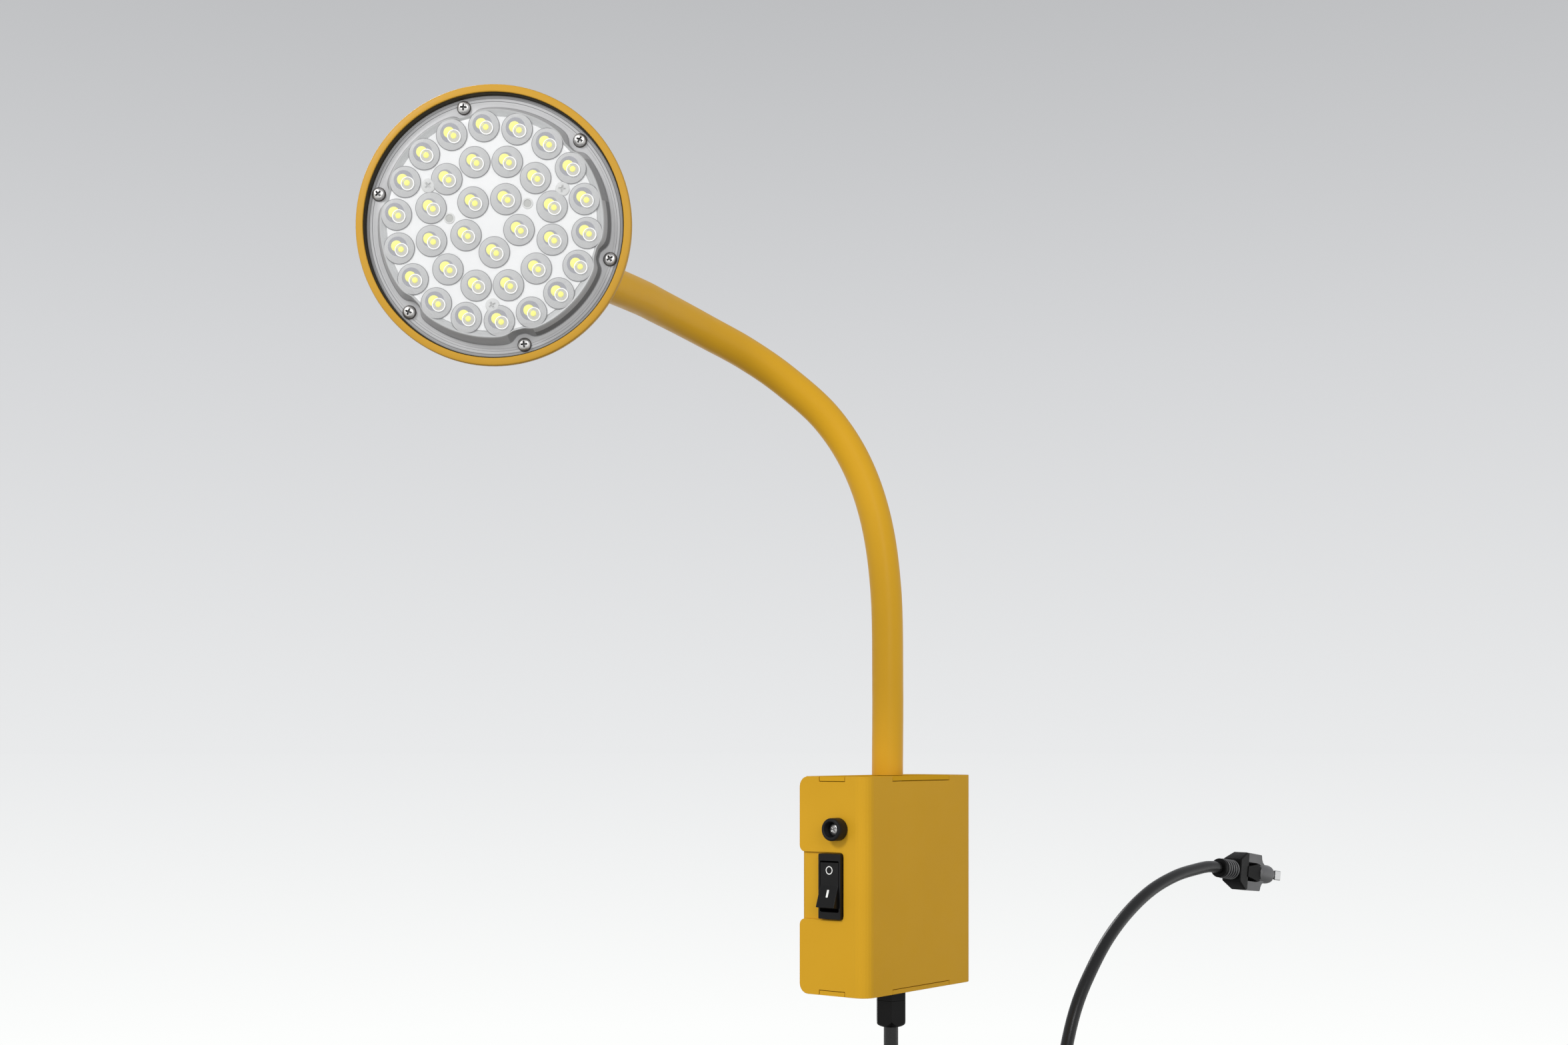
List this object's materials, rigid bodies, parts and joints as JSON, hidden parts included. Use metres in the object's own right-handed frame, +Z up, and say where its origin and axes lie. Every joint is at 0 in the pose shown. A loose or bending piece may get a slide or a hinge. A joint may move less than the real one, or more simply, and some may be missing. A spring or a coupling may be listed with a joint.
{
  "type": "flexible neck lamp",
  "caption": "Plug-in work and examination lamp: round LED head on a flexible neck, standing on a slim switched control box that screws to a wall or post.",
  "frame": {"origin": "middle of the back panel's rear face, where the control box is screwed to its support", "axes": "+Z up along the box towards the neck, +Y into the wall, -Y out of the box's front, -X towards the switch side and the lamp head"},
  "size_m": [0.7517, 0.1164, 0.601],
  "materials": {
    "yellow_powder_coat": "satin",
    "yellow_sleeve": "satin",
    "zinc_steel": "satin",
    "brass": "satin",
    "aluminium": "satin",
    "black_plastic": "satin",
    "black_rubber": "matte",
    "cord_jacket": "satin",
    "clear_polycarbonate": "gloss",
    "white_board": "satin",
    "nickel_plate": "polished"
  },
  "bodies": {
    "control_box": {"back_panel": "yellow_powder_coat", "bottom_plate": "yellow_powder_coat", "box_cover": "yellow_powder_coat", "box_screw_1": "zinc_steel", "box_screw_2": "zinc_steel", "bumper": "black_rubber", "bumper_screw": "zinc_steel", "gland_body": "black_plastic", "gland_dome_nut": "black_plastic", "gland_lock_nut": "black_plastic", "gland_washer": "black_rubber", "lead_hank": "cord_jacket", "lead_slack": "cord_jacket", "lead_tie": "black_plastic", "lead_upper": "cord_jacket", "led_driver": "black_plastic", "neck_base_fitting": "zinc_steel", "neck_base_nut": "brass", "neck_core_0": "zinc_steel", "neck_sleeve_0": "yellow_sleeve", "plug_blade_1": "nickel_plate", "plug_blade_2": "nickel_plate", "plug_body": "black_plastic", "switch_housing": "black_plastic", "terminal_block": "white_board", "top_plate": "yellow_powder_coat"},
    "rocker": {"switch_rocker": "black_plastic"},
    "neck_1": {"neck_core_1": "zinc_steel", "neck_sleeve_1": "yellow_sleeve"},
    "neck_2": {"neck_core_2": "zinc_steel", "neck_sleeve_2": "yellow_sleeve"},
    "neck_3": {"neck_core_3": "zinc_steel", "neck_sleeve_3": "yellow_sleeve"},
    "neck_4": {"neck_core_4": "zinc_steel", "neck_sleeve_4": "yellow_sleeve"},
    "neck_5": {"neck_core_5": "zinc_steel", "neck_sleeve_5": "yellow_sleeve"},
    "lamp_head": {"neck_core_6": "zinc_steel", "neck_sleeve_6": "yellow_sleeve", "head_fitting": "zinc_steel", "head_fitting_nut": "brass", "head_gasket": "black_rubber", "head_housing": "yellow_powder_coat", "heat_spreader": "aluminium", "led_board": "white_board", "lens_cover": "clear_polycarbonate", "board_screw_1": "zinc_steel", "board_screw_2": "zinc_steel", "board_screw_3": "zinc_steel", "cover_screw_1": "zinc_steel", "cover_screw_2": "zinc_steel", "cover_screw_3": "zinc_steel", "cover_screw_4": "zinc_steel", "cover_screw_5": "zinc_steel", "cover_screw_6": "zinc_steel"}
  },
  "joints": [
    {"name": "neck_bend_1", "type": "hinge", "parent": "control_box", "child": "neck_1", "pos_m": [0, -0.01973, 0.09285], "axis": [0, 1, -0.0029], "range_deg": [-20, 20]},
    {"name": "neck_sway_2", "type": "hinge", "parent": "neck_1", "child": "neck_2", "pos_m": [-0.00091, -0.01764, 0.16141], "axis": [-0.9971, 0, -0.0764], "range_deg": [-20, 20]},
    {"name": "neck_bend_3", "type": "hinge", "parent": "neck_2", "child": "neck_3", "pos_m": [-0.01965, -0.00443, 0.22519], "axis": [0.1759, 0.9501, -0.2576], "range_deg": [-20, 20]},
    {"name": "neck_sway_4", "type": "hinge", "parent": "neck_3", "child": "neck_4", "pos_m": [-0.07285, 0.01491, 0.26166], "axis": [-0.2942, 0, -0.9558], "range_deg": [-20, 20]},
    {"name": "neck_bend_5", "type": "hinge", "parent": "neck_4", "child": "neck_5", "pos_m": [-0.14012, 0.01117, 0.27201], "axis": [-0.2145, 0.9767, 0.0118], "range_deg": [-20, 20]},
    {"name": "neck_sway_6", "type": "hinge", "parent": "neck_5", "child": "lamp_head", "pos_m": [-0.20666, -0.00563, 0.27204], "axis": [0.0278, 0, -0.9996], "range_deg": [-20, 20]},
    {"name": "rocker_tilt", "type": "hinge", "parent": "control_box", "child": "rocker", "pos_m": [-0.0472, -0.0198, 0], "axis": [0, 1, 0], "range_deg": [-20, 0]}
  ]
}
